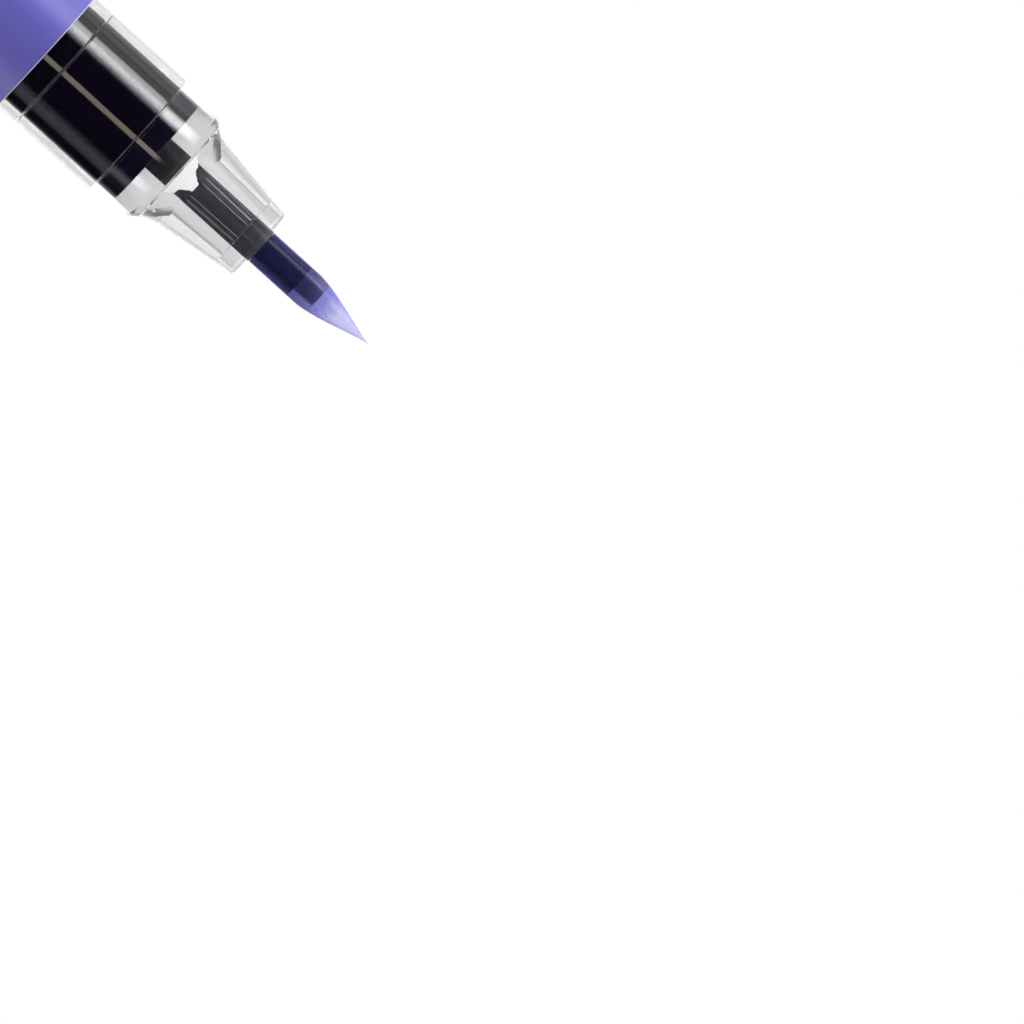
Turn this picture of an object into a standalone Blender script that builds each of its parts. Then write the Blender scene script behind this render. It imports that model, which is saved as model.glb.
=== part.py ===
"""A valve-action paint marker with a soft brush tip, standing on its posted cap with the tip up.

The marker is turned about +Z. Sizes are in millimetres here and become metres where a mesh is made.
Each piece is drawn about a datum on the axis and is carried by the frame at that datum.
"""

import math

import bmesh
import bpy
from mathutils import Matrix, Vector

MM = 0.001

# Facets round the axis, and straight steps in each rounded corner of an outline
ROUND_SIDES = 40
SMALL_SIDES = 28
CORNER_STEPS = 2
SMOOTH_ANGLE = math.radians(40)

# Clearances
FIT_GAP = 0.05
SLIDE_GAP = 0.045
SEAT_GAP = 0.1

# Barrel: a clear tube that holds the paint, with a coloured film in a shallow recess
BARREL_RADIUS = 6.0
BARREL_BORE = 5.2
BARREL_LENGTH = 89.4
FILM_THICKNESS = 0.2
FILM_MARGIN_REAR = 1.5
FILM_MARGIN_FRONT = 1.86
EDGE_ROUND = 0.12

# Cap seat: the same size on the front section and on the tail, so that the cap fits both
SEAT_RADIUS = 5.535
SEAT_LENGTH = 3.95
SEAT_ROUND = 0.5

# Tail plug, with two sealing ribs in the barrel
PLUG_FLANGE = 1.2
PLUG_POST = 4.5
PLUG_POST_CHAMFER = 0.5
PLUG_FLOOR = 2.2
PLUG_SPIGOT = 8.3
PLUG_WALL = 0.85
PLUG_RIB = 0.2
PLUG_RIB_LENGTH = 1.0
PLUG_RIB_HEIGHTS = (1.6, 5.2)

# Front section: grip, cap seat and nose in one clear moulding
GRIP_LENGTH = 8.25
NOSE_LENGTH = 13.5
NOSE_TIP_RADIUS = 3.25
NOSE_KNEE_RADIUS = 4.43
NOSE_KNEE_HEIGHT = 5.2
NOSE_KNEE_ROUND = 2.5
CHAMBER_SETBACK = 0.1
FUNNEL_LENGTH = 2.35
MOUTH_LIP = 0.27
MOUTH_DEPTH = 1.75
MOUTH_STEP = 0.33
MOUTH_CHAMFER = 0.12
BORE_TAPER = 0.21
FIN_WIDTH = 0.58
FIN_BURIED = 0.3
FIN_TURN = math.radians(3)
FIN_SPREAD = math.radians(30)
FIN_MARGIN_FRONT = 0.15
FIN_REACH_REAR = 0.64
FIN_DRAFT = 0.08

# Guide collar: a white sleeve behind the fins, with a tongue between the fins of each pair
COLLAR_RADIUS = 2.2
COLLAR_LENGTH = 1.92
COLLAR_FRONT_RADIUS = 1.8
COLLAR_SHOULDER = 1.04
COLLAR_SIDE_DROP = 0.5
COLLAR_SIDES = 36
TONGUE_SHARE = 0.35

# Valve housing, which joins the barrel to the front section, and its cover
HOUSING_INSERT = 10.0
HOUSING_NECK_LENGTH = 6.8
HOUSING_NECK_DEPTH = 0.2
HOUSING_BEAD_LENGTH = 1.1
HOUSING_BEAD_HEIGHTS = (1.0, 4.0)
HOUSING_REAR_WALL = 3.0
SPRING_CHAMBER_RADIUS = 2.4
COVER_CHAMBER_RADIUS = 3.4
PORT_RADIUS = 1.3
COVER_PARTING = 0.17
COVER_FLANGE = 1.96
COVER_SPIGOT = 2.65

# Valve gasket, plunger and spring
GASKET_RADIUS = 2.6
GASKET_THICKNESS = 0.9
GASKET_ROUND = 0.2
STEM_RADIUS = 0.9
STEM_GRIP = 1.55
POPPET_RADIUS = 2.2
POPPET_HEIGHT = 1.2
POPPET_CHAMFER = 0.6
PRESS_TRAVEL = 2.0
SPRING_WIRE_RADIUS = 0.2
SPRING_RADIUS = 1.9
SPRING_TURNS = 7
SPRING_TURN_POINTS = 10

# Brush tip, its holder and the wick inside them
HOLDER_RADIUS = 1.575
HOLDER_BORE = 1.08
HOLDER_REACH = 0.26
HOLDER_FLANGE_RADIUS = 2.6
HOLDER_FLANGE = 0.8
HOLDER_SKIRT_RADIUS = 1.45
HOLDER_SKIRT = 3.25
SLOT_WIDTH = 1.0
SLOT_LENGTH = 1.3
SLOT_MARGIN = 0.15
TIP_RADIUS = 1.475
TIP_LENGTH = 12.05
TIP_TAPER_LENGTH = 6.86
TIP_TANG_RADIUS = 1.3
TIP_TANG = 3.0
TIP_BULGE = 1.5
TIP_POINT = 1.35
TIP_STEPS = 12
WICK_RADIUS = 1.03
WICK_REACH = 4.24
WICK_END_RADIUS = 0.65
WICK_END_LENGTH = 2.13
WICK_ROUND = 0.15

# Mixing ball
BALL_RADIUS = 2.5
BALL_RINGS = 10

# Cap with a moulded clip, and the liner that seals round the tip
CAP_LENGTH = 32.0
CAP_MOUTH_RADIUS = 6.6
CAP_END_RADIUS = 6.35
CAP_END_ROUND = 1.0
CAP_FLOOR = 1.3
CAP_MOUTH_ROUND = 0.2
CAP_SEAT_GAP = 0.065
CAP_SEAT_DEPTH = 5.3
LINER_RADIUS = 5.3
LINER_WALL = 0.8
LINER_START = 5.8
LINER_FLOOR = 0.8
CLIP_WIDTH = 3.8
CLIP_ROOT = 2.4
CLIP_ROOT_LENGTH = 3.6
CLIP_END_MARGIN = 4.4
CLIP_STAND_OFF = 0.95
CLIP_THICKNESS = 1.15
CLIP_TAPER = 0.4
CLIP_PAD_LENGTH = 2.4
CLIP_PAD_GAP = 0.35
CLIP_BURIED = 0.7
CLIP_EDGE = 0.3

# Datum heights above the flat end of the posted cap
TAIL_Z = CAP_LENGTH + SEAT_GAP
TUBE_Z = TAIL_Z + PLUG_FLANGE + FIT_GAP
SHOULDER_Z = TUBE_Z + BARREL_LENGTH + FIT_GAP + GRIP_LENGTH

# Sizes that follow from a fit
HOUSING_RADIUS = BARREL_BORE - FIT_GAP
GUIDE_RADIUS = HOLDER_RADIUS + SLIDE_GAP
RECESS_RADIUS = BARREL_RADIUS - FILM_THICKNESS - FIT_GAP
MOUTH_RADIUS = NOSE_TIP_RADIUS - MOUTH_LIP
BORE_FRONT_RADIUS = MOUTH_RADIUS - MOUTH_STEP
BORE_REAR_RADIUS = BORE_FRONT_RADIUS + BORE_TAPER

# Heights in the nose, from the front section's shoulder
CHAMBER_END = SEAT_LENGTH - CHAMBER_SETBACK
FUNNEL_END = CHAMBER_END + FUNNEL_LENGTH
MOUTH_REAR = NOSE_LENGTH - MOUTH_DEPTH
FIN_FRONT = MOUTH_REAR - FIN_MARGIN_FRONT
FIN_REAR = FUNNEL_END - FIN_REACH_REAR
COLLAR_REAR = FIN_REAR - FIT_GAP - COLLAR_SHOULDER

# Heights of the valve and tip, from the front section's shoulder
HOUSING_REAR = -(GRIP_LENGTH + FIT_GAP + HOUSING_INSERT)
HOUSING_FRONT = COVER_PARTING - FIT_GAP
SPRING_FLOOR = HOUSING_REAR + HOUSING_REAR_WALL
COVER_REAR = COVER_PARTING - COVER_SPIGOT
FLANGE_FRONT = COVER_REAR - FIT_GAP
FLANGE_REAR = FLANGE_FRONT - HOLDER_FLANGE
HOLDER_REAR = FLANGE_REAR - HOLDER_SKIRT
HOLDER_FRONT = NOSE_LENGTH + HOLDER_REACH
PRESS_STOP = FLANGE_REAR - PRESS_TRAVEL - FIT_GAP
STEM_FRONT = HOLDER_REAR + STEM_GRIP
TANG_REAR = HOLDER_FRONT - TIP_TANG
WICK_STEP = HOLDER_FRONT + WICK_REACH
WICK_FRONT = WICK_STEP + WICK_END_LENGTH
TIP_FRONT = HOLDER_FRONT + FIT_GAP + TIP_LENGTH

# Colour, roughness, metallic and transmission of each finish
FINISHES = {
    "lavender_film": ((0.27, 0.24, 0.68, 1), 0.32, 0, 0),
    "lavender_plastic": ((0.25, 0.22, 0.62, 1), 0.38, 0, 0),
    "clear_plastic": ((0.9, 0.91, 0.93, 1), 0.05, 0, 1),
    "black_plastic": ((0.012, 0.01, 0.02, 1), 0.18, 0, 0),
    "holder_plastic": ((0.03, 0.027, 0.033, 1), 0.4, 0, 0),
    "brush_fibre": ((0.36, 0.33, 0.82, 1), 0.45, 0, 0.3),
    "soaked_wick": ((0.02, 0.014, 0.11, 1), 0.7, 0, 0),
    "rubber": ((0.03, 0.03, 0.03, 1), 0.75, 0, 0),
    "steel": ((0.62, 0.62, 0.64, 1), 0.22, 1, 0),
    "liner_plastic": ((0.85, 0.86, 0.9, 1), 0.45, 0, 0.2),
    "white_plastic": ((0.9, 0.9, 0.92, 1), 0.4, 0, 0),
}


def finish_material(name):
    """The Principled material of a finish, made once."""
    if name in bpy.data.materials:
        return bpy.data.materials[name]
    colour, roughness, metallic, transmission = FINISHES[name]
    made = bpy.data.materials.new(name)
    made.use_nodes = True
    made.diffuse_color = colour
    shader = made.node_tree.nodes["Principled BSDF"]
    shader.inputs["Base Color"].default_value = colour
    shader.inputs["Roughness"].default_value = roughness
    shader.inputs["Metallic"].default_value = metallic
    shader.inputs["Transmission Weight"].default_value = transmission
    return made


def frame(name, height, parent=None):
    """An empty on the axis, at a height above its parent's datum."""
    empty = bpy.data.objects.new(name, None)
    empty.location.z = height * MM
    empty.parent = parent
    bpy.context.scene.collection.objects.link(empty)
    return empty


def add_piece(name, shape, finish, parent):
    """A named object from a finished bmesh, smooth over its rounds and sharp at its corners."""
    bmesh.ops.recalc_face_normals(shape, faces=shape.faces)
    mesh = bpy.data.meshes.new(name)
    shape.to_mesh(mesh)
    shape.free()
    mesh.materials.append(finish_material(finish))
    mesh.shade_smooth()
    mesh.set_sharp_from_angle(angle=SMOOTH_ANGLE)
    piece = bpy.data.objects.new(name, mesh)
    piece.parent = parent
    bpy.context.scene.collection.objects.link(piece)
    return piece


def corner_arc(before, corner, after, radius):
    """Points of the arc that rounds a corner between two straight lines."""
    back = (Vector(before) - Vector(corner)).normalized()
    ahead = (Vector(after) - Vector(corner)).normalized()
    half = back.angle(ahead) / 2
    centre = Vector(corner) + (back + ahead).normalized() * (radius / math.sin(half))
    start = Vector(corner) + back * (radius / math.tan(half)) - centre
    sweep = start.angle_signed(Vector(corner) + ahead * (radius / math.tan(half)) - centre)
    steps = [sweep * i / CORNER_STEPS for i in range(CORNER_STEPS + 1)]
    return [tuple(centre + Matrix.Rotation(-step, 2) @ start) for step in steps]


def rounded(outline):
    """A closed outline of (x, z) or (x, z, round) corners, with its rounds made arcs."""
    points = []
    for i, (x, z, *radius) in enumerate(outline):
        if not radius:
            points.append((x, z))
            continue
        before = outline[i - 1][:2]
        after = outline[(i + 1) % len(outline)][:2]
        points += corner_arc(before, (x, z), after, radius[0])
    return points


def turned(name, outline, finish, parent, sides=ROUND_SIDES):
    """A solid turned from its half outline of (radius, height) corners."""
    points = rounded(outline)
    shape = bmesh.new()
    verts = [shape.verts.new((radius * MM, 0, height * MM)) for radius, height in points]
    is_open = points[0][0] == 0 and points[-1][0] == 0
    chain = verts if is_open else verts + verts[:1]
    edges = [shape.edges.new(pair) for pair in zip(chain, chain[1:])]
    bmesh.ops.spin(
        shape,
        geom=verts + edges,
        cent=(0, 0, 0),
        axis=(0, 0, 1),
        angle=math.tau,
        steps=sides,
        use_merge=True,
    )
    bmesh.ops.remove_doubles(shape, verts=shape.verts, dist=1e-7)
    return add_piece(name, shape, finish, parent)


def plate(name, outline, width, finish, parent, turns=(0,)):
    """Plates drawn in the XZ plane and extruded evenly to both sides, one at each turn about the axis."""
    shape = bmesh.new()
    for turn in turns:
        near = [shape.verts.new((x * MM, -width / 2 * MM, z * MM)) for x, z in rounded(outline)]
        made = bmesh.ops.extrude_face_region(shape, geom=[shape.faces.new(near)])["geom"]
        far = [part for part in made if isinstance(part, bmesh.types.BMVert)]
        bmesh.ops.translate(shape, verts=far, vec=(0, width * MM, 0))
        bmesh.ops.rotate(shape, verts=near + far, matrix=Matrix.Rotation(turn, 3, "Z"))
    return add_piece(name, shape, finish, parent)


def block(name, size, centre, finish, parent):
    """A block about a centre."""
    shape = bmesh.new()
    place = Matrix.Translation(Vector(centre) * MM) @ Matrix.Diagonal((*size, 1))
    bmesh.ops.create_cube(shape, size=MM, matrix=place)
    return add_piece(name, shape, finish, parent)


def combine(piece, tool, operation):
    """A Boolean on a piece. Its tool stays as a hidden helper."""
    tool.hide_render = True
    tool.display_type = "WIRE"
    step = piece.modifiers.new(tool.name, "BOOLEAN")
    step.operation = operation
    step.solver = "EXACT"
    step.object = tool


def ribs_on(radius, height, heights, bead, length):
    """Outline corners of raised beads up a straight wall, from a base height."""
    corners = []
    for start in heights:
        low = height + start
        corners.append((radius, low))
        corners.append((radius + bead, low + bead))
        corners.append((radius + bead, low + length - bead))
        corners.append((radius, low + length))
    return corners


def build_cap(cap):
    seat_z = CAP_LENGTH - CAP_SEAT_DEPTH
    bore = SEAT_RADIUS + CAP_SEAT_GAP
    sleeve = LINER_RADIUS + FIT_GAP
    shell = turned("cap_shell", [
        (0, 0),
        (CAP_END_RADIUS, 0, CAP_END_ROUND),
        (CAP_MOUTH_RADIUS, CAP_LENGTH, CAP_MOUTH_ROUND),
        (bore, CAP_LENGTH, CAP_MOUTH_ROUND),
        (bore, seat_z),
        (sleeve, seat_z),
        (sleeve, CAP_FLOOR),
        (0, CAP_FLOOR),
    ], "lavender_plastic", cap)
    inner = CAP_MOUTH_RADIUS + CLIP_STAND_OFF
    outer = inner + CLIP_THICKNESS
    pad = CAP_MOUTH_RADIUS + CLIP_PAD_GAP
    buried = CAP_END_RADIUS - CLIP_BURIED
    root_z = CLIP_ROOT + CLIP_ROOT_LENGTH
    end_z = CAP_LENGTH - CLIP_END_MARGIN
    pad_z = end_z - CLIP_PAD_LENGTH
    clip = plate("clip_form", [
        (buried, CLIP_ROOT),
        (outer, CLIP_ROOT, 1.5),
        (outer - CLIP_TAPER, end_z, 0.5),
        (pad, end_z, 0.4),
        (pad, pad_z, 0.3),
        (inner, pad_z - (inner - pad), 0.4),
        (inner, root_z, 0.5),
        (buried, root_z),
    ], CLIP_WIDTH, "lavender_plastic", cap)
    edge = clip.modifiers.new("edges", "BEVEL")
    edge.width = CLIP_EDGE * MM
    edge.segments = 2
    edge.limit_method = "ANGLE"
    edge.angle_limit = math.radians(60)
    combine(shell, clip, "UNION")
    liner_z = CAP_FLOOR + FIT_GAP
    rim_z = CAP_LENGTH - LINER_START
    turned("cap_liner", [
        (0, liner_z),
        (LINER_RADIUS, liner_z, 0.5),
        (LINER_RADIUS, rim_z),
        (LINER_RADIUS - LINER_WALL, rim_z, 0.3),
        (LINER_RADIUS - LINER_WALL, liner_z + LINER_FLOOR, 0.5),
        (0, liner_z + LINER_FLOOR),
    ], "liner_plastic", cap)


def build_barrel(tail, tube):
    spigot = BARREL_BORE - FIT_GAP - PLUG_RIB
    top = PLUG_FLANGE + PLUG_SPIGOT
    floor = PLUG_FLOOR - PLUG_POST
    turned("tail_plug", [
        (0, -PLUG_POST),
        (SEAT_RADIUS - PLUG_POST_CHAMFER, -PLUG_POST),
        (SEAT_RADIUS, PLUG_POST_CHAMFER - PLUG_POST),
        (SEAT_RADIUS, 0),
        (BARREL_RADIUS, 0, EDGE_ROUND),
        (BARREL_RADIUS, PLUG_FLANGE, EDGE_ROUND),
        (spigot, PLUG_FLANGE),
        *ribs_on(spigot, PLUG_FLANGE, PLUG_RIB_HEIGHTS, PLUG_RIB, PLUG_RIB_LENGTH),
        (spigot, top),
        (spigot - PLUG_WALL, top),
        (spigot - PLUG_WALL, floor, 0.6),
        (0, floor),
    ], "lavender_plastic", tail)
    film_start = FILM_MARGIN_REAR
    film_end = BARREL_LENGTH - FILM_MARGIN_FRONT
    turned("barrel_tube", [
        (BARREL_BORE, 0),
        (BARREL_RADIUS, 0, EDGE_ROUND),
        (BARREL_RADIUS, film_start),
        (RECESS_RADIUS, film_start),
        (RECESS_RADIUS, film_end),
        (BARREL_RADIUS, film_end),
        (BARREL_RADIUS, BARREL_LENGTH, EDGE_ROUND),
        (BARREL_BORE, BARREL_LENGTH),
    ], "clear_plastic", tube)
    turned("barrel_sleeve", [
        (BARREL_RADIUS - FILM_THICKNESS, film_start + FIT_GAP),
        (BARREL_RADIUS, film_start + FIT_GAP),
        (BARREL_RADIUS, film_end - FIT_GAP),
        (BARREL_RADIUS - FILM_THICKNESS, film_end - FIT_GAP),
    ], "lavender_film", tube)


def build_front(front):
    section = turned("front_section", [
        (BARREL_BORE, -GRIP_LENGTH),
        (BARREL_RADIUS, -GRIP_LENGTH, EDGE_ROUND),
        (BARREL_RADIUS, 0, EDGE_ROUND),
        (SEAT_RADIUS, 0),
        (SEAT_RADIUS, SEAT_LENGTH, SEAT_ROUND),
        (NOSE_KNEE_RADIUS, NOSE_KNEE_HEIGHT, NOSE_KNEE_ROUND),
        (NOSE_TIP_RADIUS, NOSE_LENGTH, EDGE_ROUND / 2),
        (MOUTH_RADIUS + MOUTH_CHAMFER, NOSE_LENGTH),
        (MOUTH_RADIUS, NOSE_LENGTH - 2 * MOUTH_CHAMFER),
        (MOUTH_RADIUS, MOUTH_REAR),
        (BORE_FRONT_RADIUS, MOUTH_REAR),
        (BORE_REAR_RADIUS, FUNNEL_END),
        (BARREL_BORE, CHAMBER_END, SEAT_ROUND),
    ], "clear_plastic", front)
    funnel_slope = (BARREL_BORE - BORE_REAR_RADIUS) / FUNNEL_LENGTH
    funnel_radius = BORE_REAR_RADIUS + FIN_REACH_REAR * funnel_slope
    fins = plate("fin_form", [
        (GUIDE_RADIUS, FIN_FRONT),
        (BORE_FRONT_RADIUS + FIN_BURIED, FIN_FRONT),
        (BORE_REAR_RADIUS + FIN_BURIED, FUNNEL_END),
        (funnel_radius + FIN_BURIED, FIN_REAR),
        (GUIDE_RADIUS + FIN_DRAFT * (FIN_FRONT - FIN_REAR), FIN_REAR),
    ], FIN_WIDTH, "clear_plastic", front, [
        FIN_TURN + side * math.pi / 2 + spread
        for side in (1, -1)
        for spread in (FIN_SPREAD, -FIN_SPREAD)
    ])
    combine(section, fins, "UNION")
    build_collar(front)


def build_collar(front):
    """The guide collar: its rim drops from each tongue to the fins, and further at the sides."""
    shoulder = COLLAR_REAR + COLLAR_SHOULDER
    collar = turned("guide_collar", [
        (GUIDE_RADIUS, COLLAR_REAR),
        (COLLAR_RADIUS, COLLAR_REAR),
        (COLLAR_RADIUS, shoulder),
        (COLLAR_FRONT_RADIUS, COLLAR_REAR + COLLAR_LENGTH),
        (GUIDE_RADIUS, COLLAR_REAR + COLLAR_LENGTH),
    ], "white_plastic", front, COLLAR_SIDES)
    for vert in collar.data.vertices:
        if vert.co.z < (COLLAR_REAR + FIT_GAP) * MM:
            continue
        around = abs(math.remainder(math.atan2(vert.co.y, vert.co.x), math.pi))
        beside = (around / FIN_SPREAD - TONGUE_SHARE) / (1 - TONGUE_SHARE)
        if vert.co.z > (shoulder + FIT_GAP) * MM:
            drop = min(max(beside, 0), 1) * (COLLAR_LENGTH - COLLAR_SHOULDER - FIT_GAP)
            vert.co.z -= drop * MM
        past = (around - 1.5 * FIN_SPREAD) / FIN_SPREAD
        vert.co.z -= min(max(past, 0), 1) * COLLAR_SIDE_DROP * MM
    collar.rotation_euler.z = FIN_TURN + math.pi / 2


def build_valve(front):
    neck = HOUSING_RADIUS - HOUSING_NECK_DEPTH
    pocket = GASKET_RADIUS + FIT_GAP
    pocket_z = HOUSING_REAR + GASKET_THICKNESS + 2 * FIT_GAP
    beads = ribs_on(
        neck, HOUSING_REAR, HOUSING_BEAD_HEIGHTS, HOUSING_NECK_DEPTH, HOUSING_BEAD_LENGTH
    )
    turned("valve_housing", [
        (pocket, HOUSING_REAR),
        (neck, HOUSING_REAR, 0.3),
        *beads,
        (neck, HOUSING_REAR + HOUSING_NECK_LENGTH),
        (HOUSING_RADIUS, HOUSING_REAR + HOUSING_NECK_LENGTH + HOUSING_NECK_DEPTH),
        (HOUSING_RADIUS, HOUSING_FRONT, EDGE_ROUND),
        (COVER_CHAMBER_RADIUS, HOUSING_FRONT),
        (COVER_CHAMBER_RADIUS, PRESS_STOP),
        (SPRING_CHAMBER_RADIUS, PRESS_STOP),
        (SPRING_CHAMBER_RADIUS, SPRING_FLOOR),
        (PORT_RADIUS, SPRING_FLOOR),
        (PORT_RADIUS, pocket_z),
        (pocket, pocket_z),
    ], "black_plastic", front)
    spigot = COVER_CHAMBER_RADIUS - FIT_GAP
    cover_front = COVER_PARTING + COVER_FLANGE
    turned("housing_cover", [
        (GUIDE_RADIUS, COVER_REAR),
        (spigot, COVER_REAR, EDGE_ROUND),
        (spigot, COVER_PARTING),
        (HOUSING_RADIUS, COVER_PARTING, EDGE_ROUND),
        (HOUSING_RADIUS, cover_front, EDGE_ROUND),
        (GUIDE_RADIUS, cover_front, EDGE_ROUND),
    ], "black_plastic", front)
    gasket_z = HOUSING_REAR + FIT_GAP
    turned("valve_gasket", [
        (PORT_RADIUS + FIT_GAP, gasket_z, GASKET_ROUND),
        (GASKET_RADIUS, gasket_z, GASKET_ROUND),
        (GASKET_RADIUS, gasket_z + GASKET_THICKNESS, GASKET_ROUND),
        (PORT_RADIUS + FIT_GAP, gasket_z + GASKET_THICKNESS, GASKET_ROUND),
    ], "rubber", front, SMALL_SIDES)
    build_spring(front)


def build_spring(front):
    """The return spring: one wire tube round the plunger's stem."""
    low = SPRING_FLOOR + SPRING_WIRE_RADIUS + SEAT_GAP
    high = FLANGE_REAR - SPRING_WIRE_RADIUS - SEAT_GAP
    count = SPRING_TURNS * SPRING_TURN_POINTS
    curve = bpy.data.curves.new("valve_spring", "CURVE")
    curve.dimensions = "3D"
    curve.bevel_depth = SPRING_WIRE_RADIUS * MM
    curve.bevel_resolution = 1
    curve.use_fill_caps = True
    line = curve.splines.new("POLY")
    line.points.add(count)
    for i, point in enumerate(line.points):
        angle = math.tau * i / SPRING_TURN_POINTS
        height = low + (high - low) * i / count
        x = SPRING_RADIUS * math.cos(angle)
        y = SPRING_RADIUS * math.sin(angle)
        point.co = (x * MM, y * MM, height * MM, 1)
    curve.materials.append(finish_material("steel"))
    spring = bpy.data.objects.new("valve_spring", curve)
    spring.parent = front
    bpy.context.scene.collection.objects.link(spring)
    print("valve_spring least gap to itself, mm:", round(least_gap(line.points), 3))


def least_gap(points):
    """The least distance between two turns of the spring's wire, less the wire itself, in millimetres."""
    places = [Vector(point.co[:3]) / MM for point in points]
    least = math.inf
    for i, here in enumerate(places):
        for there in places[i + SPRING_TURN_POINTS // 2:]:
            least = min(least, (there - here).length)
    return least - 2 * SPRING_WIRE_RADIUS


def build_nib(nib):
    stem_hole = STEM_RADIUS + FIT_GAP
    socket = TIP_TANG_RADIUS + FIT_GAP
    socket_z = TANG_REAR - FIT_GAP
    holder = turned("nib_holder", [
        (stem_hole, HOLDER_REAR),
        (HOLDER_SKIRT_RADIUS, HOLDER_REAR),
        (HOLDER_SKIRT_RADIUS, FLANGE_REAR),
        (HOLDER_FLANGE_RADIUS, FLANGE_REAR),
        (HOLDER_FLANGE_RADIUS, FLANGE_FRONT),
        (HOLDER_RADIUS, FLANGE_FRONT),
        (HOLDER_RADIUS, HOLDER_FRONT),
        (socket, HOLDER_FRONT),
        (socket, socket_z),
        (HOLDER_BORE, socket_z),
        (HOLDER_BORE, STEM_FRONT),
        (stem_hole, STEM_FRONT),
    ], "holder_plastic", nib, SMALL_SIDES)
    slot_z = STEM_FRONT + SLOT_MARGIN + SLOT_LENGTH / 2
    slot = block(
        "slot_form",
        (3 * HOLDER_SKIRT_RADIUS, SLOT_WIDTH, SLOT_LENGTH),
        (0, 0, slot_z),
        "holder_plastic",
        nib,
    )
    combine(holder, slot, "DIFFERENCE")
    turned("valve_plunger", [
        (0, HOUSING_REAR - POPPET_HEIGHT),
        (POPPET_RADIUS - POPPET_CHAMFER, HOUSING_REAR - POPPET_HEIGHT),
        (POPPET_RADIUS, HOUSING_REAR - POPPET_HEIGHT + POPPET_CHAMFER),
        (POPPET_RADIUS, HOUSING_REAR),
        (STEM_RADIUS, HOUSING_REAR),
        (STEM_RADIUS, STEM_FRONT),
        (0, STEM_FRONT),
    ], "holder_plastic", nib, SMALL_SIDES)
    turned("feed_wick", [
        (0, STEM_FRONT + FIT_GAP),
        (WICK_RADIUS, STEM_FRONT + FIT_GAP),
        (WICK_RADIUS, WICK_STEP, WICK_ROUND),
        (WICK_END_RADIUS, WICK_STEP),
        (WICK_END_RADIUS, WICK_FRONT, WICK_ROUND),
        (0, WICK_FRONT),
    ], "soaked_wick", nib, SMALL_SIDES)
    taper_z = TIP_FRONT - TIP_TAPER_LENGTH
    taper = []
    for i in range(TIP_STEPS, -1, -1):
        along = i / TIP_STEPS
        swell = (1 - along**TIP_BULGE) ** TIP_POINT
        taper.append((TIP_RADIUS * swell, taper_z + along * TIP_TAPER_LENGTH))
    turned("brush_tip", [
        *taper,
        (TIP_RADIUS, HOLDER_FRONT + FIT_GAP),
        (TIP_TANG_RADIUS, HOLDER_FRONT + FIT_GAP),
        (TIP_TANG_RADIUS, TANG_REAR),
        (WICK_RADIUS + FIT_GAP, TANG_REAR),
        (WICK_RADIUS + FIT_GAP, WICK_STEP + FIT_GAP),
        (WICK_END_RADIUS + FIT_GAP, WICK_STEP + FIT_GAP),
        (WICK_END_RADIUS + FIT_GAP, WICK_FRONT + FIT_GAP),
        (0, WICK_FRONT + FIT_GAP),
    ], "brush_fibre", nib, SMALL_SIDES)


def build_ball(ball):
    shape = bmesh.new()
    bmesh.ops.create_uvsphere(
        shape, u_segments=2 * BALL_RINGS, v_segments=BALL_RINGS, radius=BALL_RADIUS * MM
    )
    add_piece("mixing_ball", shape, "steel", ball)


def main():
    for obj in list(bpy.data.objects):
        bpy.data.objects.remove(obj)
    cap = frame("cap_frame", 0)
    tail = frame("tail_frame", TAIL_Z, cap)
    tube = frame("tube_frame", TUBE_Z - TAIL_Z, tail)
    front = frame("front_frame", SHOULDER_Z - TAIL_Z, tail)
    nib = frame("nib_frame", 0, front)
    ball = frame("ball_frame", PLUG_FLOOR - PLUG_POST + BALL_RADIUS + FIT_GAP, tail)
    build_cap(cap)
    build_barrel(tail, tube)
    build_front(front)
    build_valve(front)
    build_nib(nib)
    build_ball(ball)
    print("shoulder height, mm:", round(SHOULDER_Z, 3))


main()
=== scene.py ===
# %% [markdown]
# # A paint marker with a clear nose and a soft brush tip
#
# The marker stands on its posted cap, tip up. Almost every piece of it is turned, so one lathe built
# from nodes makes nearly all the shapes, and the work goes into the materials: printed film, clear
# moulded plastic, black plastic behind it, and a soft tip soaked with paint.
#
# Sizes are written in millimetres, as on a drawing, and become metres when a mesh is made. Light crosses
# many clear walls on its way to the camera, so the limits on its bounces are raised at once. Rays that are
# cut off too early would leave black specks in the clear plastic.

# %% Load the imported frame
import math

import bmesh
import bpy
from mathutils import Matrix, Vector


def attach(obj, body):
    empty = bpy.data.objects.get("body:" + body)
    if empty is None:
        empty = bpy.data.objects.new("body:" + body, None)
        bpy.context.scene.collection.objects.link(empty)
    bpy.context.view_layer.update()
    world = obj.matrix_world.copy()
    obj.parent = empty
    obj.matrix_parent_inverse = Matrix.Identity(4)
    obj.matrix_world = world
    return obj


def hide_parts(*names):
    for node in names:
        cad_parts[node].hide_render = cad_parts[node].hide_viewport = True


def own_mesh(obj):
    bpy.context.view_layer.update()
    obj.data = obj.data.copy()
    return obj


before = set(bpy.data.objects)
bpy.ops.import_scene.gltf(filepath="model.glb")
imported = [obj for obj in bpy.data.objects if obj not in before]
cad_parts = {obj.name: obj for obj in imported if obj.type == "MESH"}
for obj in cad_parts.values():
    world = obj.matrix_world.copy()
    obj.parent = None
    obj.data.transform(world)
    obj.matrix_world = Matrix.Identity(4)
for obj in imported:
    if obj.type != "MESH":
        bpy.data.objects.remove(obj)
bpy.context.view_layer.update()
MM = 0.001
scene = bpy.context.scene
scene.view_settings.view_transform = "Standard"
scene.cycles.max_bounces = 32
scene.cycles.glossy_bounces = 24
scene.cycles.transmission_bounces = 32

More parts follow.
